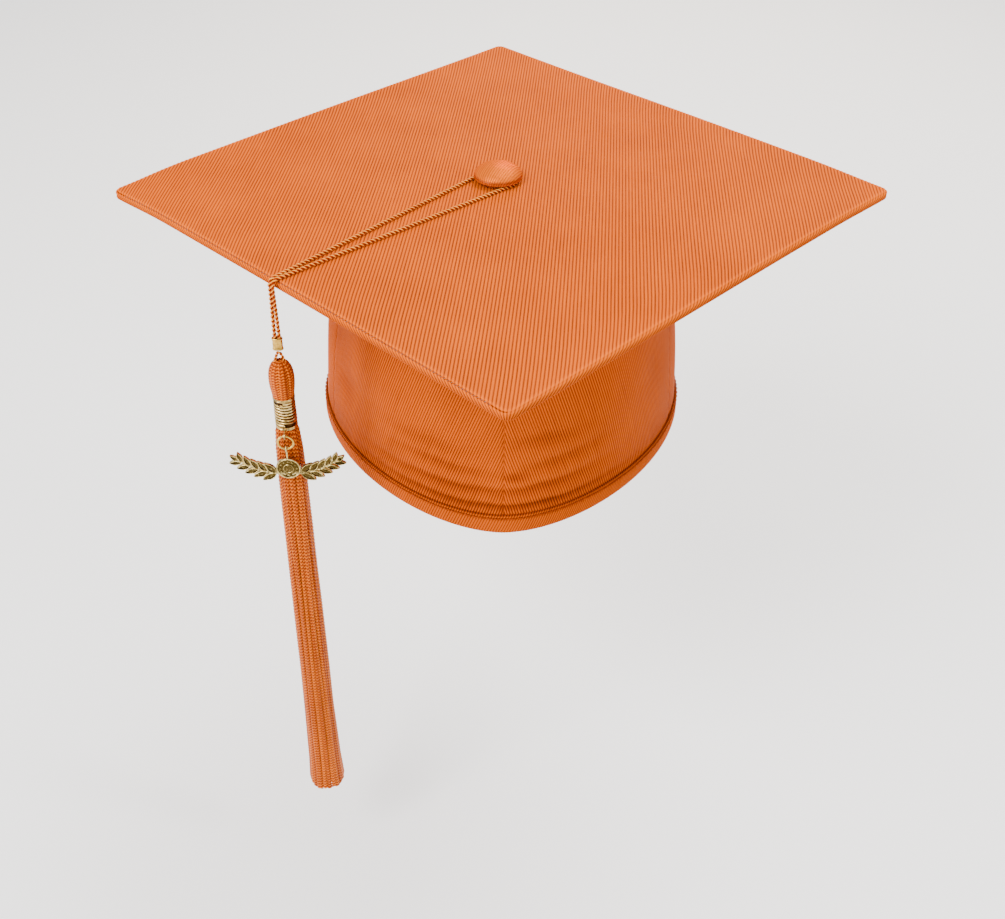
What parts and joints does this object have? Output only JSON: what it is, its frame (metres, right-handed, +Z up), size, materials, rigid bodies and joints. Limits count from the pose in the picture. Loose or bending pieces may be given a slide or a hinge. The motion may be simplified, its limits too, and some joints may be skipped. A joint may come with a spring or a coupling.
{
  "type": "graduation cap",
  "caption": "Square-board graduation cap with a covered button, a looped cord and a hanging tassel with a metal charm; a head fits inside.",
  "frame": {"origin": "middle of the head opening, at the level of the rim's sides", "axes": "+Z up through the board; -Y towards the front peak of the crown and the board's front corner; +X to the right as seen from the front"},
  "size_m": [0.3374, 0.3374, 0.3052],
  "materials": {
    "ribbed_fabric": "ribbed matte weave with a soft sheen",
    "crown_fabric": "ribbed matte weave with a soft sheen",
    "band_fabric": "ribbed matte weave, folded and stitched",
    "thread": "sewing thread",
    "cord": "twisted rayon with a silky sheen",
    "skirt_yarn": "rayon yarn with a silky sheen",
    "lining": "plain woven interlining",
    "elastic": "ribbed woven elastic",
    "core": "bound yarn",
    "board_core": "grey pulp board",
    "button_shell": "satin moulded shell",
    "gold": "polished with fine wear",
    "charm_gold": "antiqued cast relief"
  },
  "bodies": {
    "cap": {"board_panel": "board_core", "board_cover_top": "ribbed_fabric", "board_cover_bottom": "ribbed_fabric", "button_cover": "ribbed_fabric", "button_shell": "button_shell", "button_neck": "band_fabric", "button_rivet": "gold", "button_backplate": "gold", "crown_front_left": "crown_fabric", "crown_front_right": "crown_fabric", "crown_back_left": "crown_fabric", "crown_back_right": "crown_fabric", "front_interlining_left": "lining", "front_interlining_right": "lining", "crown_flange": "crown_fabric", "rim_band": "band_fabric", "rim_stitching": "thread", "back_elastic": "elastic", "elastic_casing": "band_fabric"},
    "cord_loop": {"loop_run": "cord"},
    "cord_drop": {"hanging_strand_left": "cord", "hanging_strand_right": "cord", "ferrule": "gold"},
    "tassel": {"link_loop": "cord", "tassel_head": "cord", "head_core": "core", "coil_wrap": "gold", "bound_neck": "core", "tassel_skirt": "skirt_yarn"},
    "ring": {"jump_ring": "gold"},
    "charm": {"charm": "charm_gold"}
  },
  "joints": [
    {"name": "tassel_turn", "type": "hinge", "parent": "cap", "child": "cord_loop", "pos_m": [-0.002, 0.005, 0.11], "axis": [0, 0, 1], "range_deg": [-4, 4]},
    {"name": "edge_swing", "type": "hinge", "parent": "cord_loop", "child": "cord_drop", "pos_m": [-0.08853, -0.08153, 0.10835], "axis": [-0.7071, 0.7071, 0], "range_deg": [-10, 60]},
    {"name": "tassel_sway", "type": "hinge", "parent": "cord_drop", "child": "tassel", "pos_m": [-0.09037, -0.08337, 0.0782], "axis": [-0.7071, -0.7071, 0], "range_deg": [-50, 50]},
    {"name": "ring_flip", "type": "hinge", "parent": "tassel", "child": "ring", "pos_m": [-0.09037, -0.09097, 0.0417], "axis": [-1, 0, 0], "range_deg": [0, 70]},
    {"name": "charm_flip", "type": "hinge", "parent": "ring", "child": "charm", "pos_m": [-0.09037, -0.09097, 0.0353], "axis": [-1, 0, 0], "range_deg": [0, 70]}
  ]
}
